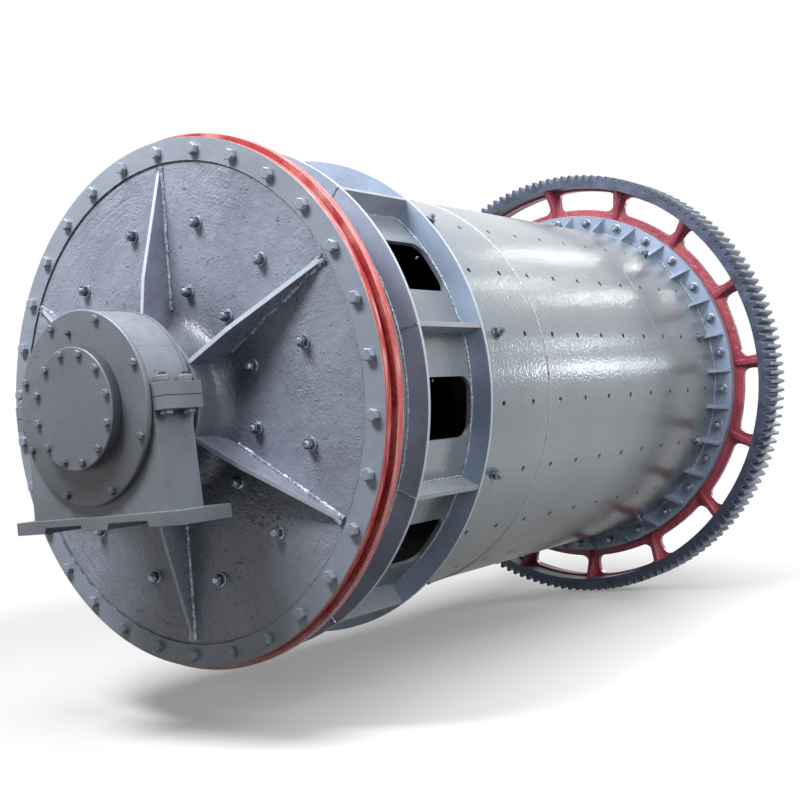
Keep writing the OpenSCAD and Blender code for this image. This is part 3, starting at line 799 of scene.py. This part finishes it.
# Liner bolts: only the first and the last ring of the shell's holes have their bolts in, in every
# second row, each with a broad washer, a nut and a long end of thread.
bolted_ys = (1.440, 3.908)
bolted_angles = evenly(10, 18 + drum_turn)
shell_bolt = nut_on_stud(across=0.044, nut_h=0.022, stud_d=0.026, stud_out=0.020,
                         washer_d=0.060, washer_t=0.007,
                         washer_finish=nut_steel, nut_finish=nut_steel, stud_finish=nut_steel)


def on_shell(angle, y, spin):
    """Place of a part that stands on the shell, bedded in its paint"""
    return (round_the_axis(angle) @ Matrix.Translation((shell_out - 0.001, y, 0))
            @ Matrix.Rotation(math.pi / 2, 4, "Y") @ Matrix.Rotation(spin, 4, "Z"))


set_copies(shell_bolt, "shell_liner_bolts",
           [on_shell(a, y, any_spin()) for y in bolted_ys for a in bolted_angles], "drum")
bpy.data.objects.remove(shell_bolt)

# Rear shell flange and gussets: a thick ring welded to the shell and stayed by thirty small gussets,
# painted blue grey. A bolt between each two of them goes through the gear into the rear head.
rear_flange_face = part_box("rear_shell_flange")[0][1]
gusset_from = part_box("rear_flange_gussets")[0][1]
gusset_half_t = 0.009
gusset_top_r = 1.176
gusset_weld_size, gusset_weld_off = 0.005, gusset_half_t + 0.001
rear_weld_size = 0.008
rear_paint = blue_grey_paint("rear_flange_paint", shade(128, 144, 168), shade(150, 166, 190))
finish_nodes(rear_paint, "rear_shell_flange", "rear_flange_gussets")
ring_bead("rear_flange_weld", radius=shell_out + ring_weld_rise, y=rear_flange_face - ring_weld_off,
          size=rear_weld_size, finish=ring_weld_paint)
gusset_runs = []
for off in (-gusset_weld_off, gusset_weld_off):
    corner = (shell_out, rear_flange_face, off)
    gusset_runs.append(((shell_out, gusset_from, off), corner))
    gusset_runs.append((corner, (gusset_top_r, rear_flange_face, off)))
set_beads("gusset_welds", gusset_runs, gusset_weld_size, ring_weld_paint, evenly(30, 6 + drum_turn))
gear_nut = nut_on_stud(across=0.046, nut_h=0.024, stud_d=0.028, stud_out=0.018,
                       washer_d=0.062, washer_t=0.006,
                       washer_finish=thread_steel, nut_finish=nut_steel, stud_finish=thread_steel)
set_copies(gear_nut, "rear_flange_nuts",
           [on_face(rim_bolt_r, a, rear_flange_face, -1, any_spin()) for a in rim_bolt_angles],
           "drum")
bpy.data.objects.remove(gear_nut)

# Girth gear: one ring casting, with sixteen ridged arms between the flange and the toothed rim. The web
# is left rough under red primer, and the turned rim and cut teeth are dark with grease.
tooth_tip_r = outer_radius("girth_gear_rim")
worn_from_r, worn_to_r = tooth_tip_r - 0.042, tooth_tip_r - 0.002


def sand_cast_primer():
    """Red primer on the rough skin of a sand casting"""
    finish, tree, shader, place = begin_finish("gear_web_primer")
    broad = clouds(tree, place, 5.0, detail=6.0)
    sand = clouds(tree, place, 60.0, detail=5.0, rough=0.6)
    lumps = clouds(tree, place, 24.0, detail=4.0)
    height = plus(tree, broad, plus(tree, times(tree, sand, 0.35), times(tree, lumps, 0.7)))
    edge = lay_relief(tree, shader, height, depth=0.011, edge_width=0.010)
    colour = mix_shades(tree, between(tree, broad, 0.3, 0.7), shade(150, 56, 72), shade(194, 86, 102))
    colour = mix_shades(tree, between(tree, sand, 0.55, 0.75, 0.0, 0.35), colour, shade(198, 100, 110))
    # Painted highlight: the cast edges lightened towards pale pink.
    colour = mix_shades(tree, times(tree, edge, 0.5), colour, shade(222, 130, 138))
    lay_coat(tree, shader, colour, between(tree, sand, 0.3, 0.7, 0.16, 0.32))
    return finish


def greased_steel():
    """Cut steel under a film of grease, worn light towards the tips of the teeth"""
    finish, tree, shader, place = begin_finish("greased_teeth")
    film = clouds(tree, place, 12.0, detail=6.0, stretch=(1.0, 0.4, 1.0))
    cut_marks = clouds(tree, place, 30.0, detail=3.0, stretch=(6.0, 0.3, 6.0))
    height = plus(tree, film, times(tree, cut_marks, 0.4))
    edge = lay_relief(tree, shader, height, depth=0.002, edge_width=0.003)
    colour = mix_shades(tree, between(tree, film, 0.3, 0.7), shade(40, 47, 66), shade(76, 85, 108))
    flank = between(tree, facing_along(tree), 0.5, 0.3)
    rubbed = between(tree, axis_distance(tree, place), worn_from_r, worn_to_r, 0.15, 0.6)
    colour = mix_shades(tree, times(tree, flank, rubbed), colour, shade(126, 138, 154))
    # Edges lightened, partly as wear and partly as painted highlight.
    colour = mix_shades(tree, times(tree, edge, 0.45), colour, shade(176, 188, 200))
    lay_coat(tree, shader, colour, between(tree, film, 0.3, 0.7, 0.38, 0.54))
    shader.inputs["Metallic"].default_value = 0.25
    return finish


finish_nodes(sand_cast_primer(), "girth_gear_web")
finish_nodes(greased_steel(), "girth_gear_rim")

# Studio: a pale floor under the gear, white further out so that it meets the white surround. Soft lamps
# hang overhead, in front, at the side and behind, and tubes and two low strips mirror in the shell.
floor_z = cad_box[0][2] - 0.012
floor_size = 120.0
floor_seen, floor_bounce = (0.82, 0.82, 0.82, 1.0), (0.06, 0.05, 0.044, 1.0)
surround_bounce = 0.035


def seen_directly(tree):
    """1 for what is seen, straight, mirrored or through glass, and 0 for light that only bounces"""
    path = add_node(tree, "ShaderNodeLightPath").outputs
    mirrored = reckon(tree, "MAXIMUM", path["Is Glossy Ray"], path["Is Transmission Ray"])
    return reckon(tree, "MAXIMUM", path["Is Camera Ray"], mirrored)


def pale_floor():
    """A dull floor that throws little light up, and glows white far out"""
    finish, tree, shader, place = begin_finish("pale_floor")
    shader.inputs["Roughness"].default_value = 0.9
    seen = seen_directly(tree)
    tree.links.new(mix_shades(tree, seen, floor_bounce, floor_seen), shader.inputs["Base Color"])
    reach = add_node(tree, "ShaderNodeVectorMath", {0: place}, operation="LENGTH").outputs["Value"]
    far = times(tree, between(tree, reach, 2.6, 6.5, 0.22, 1.0), seen)
    white = add_node(tree, "ShaderNodeEmission", {"Color": (1, 1, 1, 1), "Strength": 1.0}).outputs[0]
    blend = add_node(tree, "ShaderNodeMixShader", {0: far, 1: shader.outputs[0], 2: white}).outputs[0]
    tree.links.new(blend, tree.nodes["Material Output"].inputs["Surface"])
    return finish


bpy.ops.object.select_all(action="DESELECT")
bpy.ops.mesh.primitive_plane_add(size=floor_size, location=(0, rear_y / 2, floor_z))
floor = bpy.context.object
floor.name = "studio_floor"
floor.data.materials.append(pale_floor())

world = bpy.data.worlds.new("white_surround")
bpy.context.scene.world = world
world.use_nodes = True
surround = world.node_tree.nodes["Background"]
surround.inputs["Color"].default_value = (1, 1, 1, 1)
strength = between(world.node_tree, seen_directly(world.node_tree), 0.0, 1.0, surround_bounce, 1.0)
world.node_tree.links.new(strength, surround.inputs["Strength"])


def soft_lamp(name, place, target, size, power, tint=(1.0, 1.0, 1.0)):
    """A lamp that lights the object without being seen itself"""
    lamp = bpy.data.lights.new(name, "AREA")
    lamp.shape, lamp.size, lamp.size_y, lamp.energy, lamp.color = "RECTANGLE", size[0], size[1], power, tint
    holder = bpy.data.objects.new(name, lamp)
    bpy.context.collection.objects.link(holder)
    holder.location = place
    holder.rotation_euler = (Vector(target) - Vector(place)).to_track_quat("-Z", "Y").to_euler()
    holder.visible_camera = False


warm, cold = (1.0, 0.98, 0.90), (0.88, 0.94, 1.0)
tube_w, tube_z, tube_lean = 0.18, 4.5, 0.001
soft_lamp("overhead_lamp", (1.6, 2.4, 5.4), (0.4, 2.0, 0.0), size=(5.0, 7.0), power=410.0)
soft_lamp("front_lamp", (-0.6, -2.5, 5.5), (0.0, 0.4, 0.9), size=(3.0, 1.4), power=500.0)
soft_lamp("side_lamp", (5.7, 0.3, 3.3), (0.6, 1.6, 0.6), size=(2.6, 3.4), power=230.0)
soft_lamp("rear_lamp", (0.2, 9.5, 0.9), (0.0, 4.4, 0.6), size=(2.0, 1.6), power=150.0)
tubes = (("first_tube", 0.77, 8.5, 2.2, 18.0), ("second_tube", 0.80, 10.5, 0.6, 8.0),
         ("third_tube", 2.92, 8.3, 1.5, 17.0), ("fourth_tube", 3.22, 11.3, 2.0, 40.0))
for name, x, y, length, power in tubes:
    soft_lamp(name, (x, y, tube_z), (x - tube_lean, y, 0.0), (tube_w, length), power, warm)
soft_lamp("high_gleam", (3.02, 6.15, 1.40), (1.06, 6.15, 0.63), size=(1.1, 0.06), power=7.0, tint=cold)
soft_lamp("low_gleam", (3.11, 6.37, 0.74), (1.07, 6.37, 0.51), size=(1.7, 0.20), power=19.0, tint=cold)

# Camera: low in front of the blind end and to its right, level with the bearing, as the mill is seen,
# and turned a little about its own line of sight.
eye = (3.84691, -3.14437, 0.21735)
pan, tilt, roll = (math.radians(v) for v in (36.46058, 2.17879, -6.33988))
camera = bpy.data.objects.new("camera", bpy.data.cameras.new("camera"))
bpy.context.collection.objects.link(camera)
camera.data.sensor_width = 36.0
camera.data.lens = 51.451
camera.data.clip_end = 200.0
camera.matrix_world = (Matrix.Translation(eye) @ Matrix.Rotation(pan, 4, "Z")
                       @ Matrix.Rotation(math.pi / 2 + tilt, 4, "X") @ Matrix.Rotation(roll, 4, "Z"))
bpy.context.scene.camera = camera
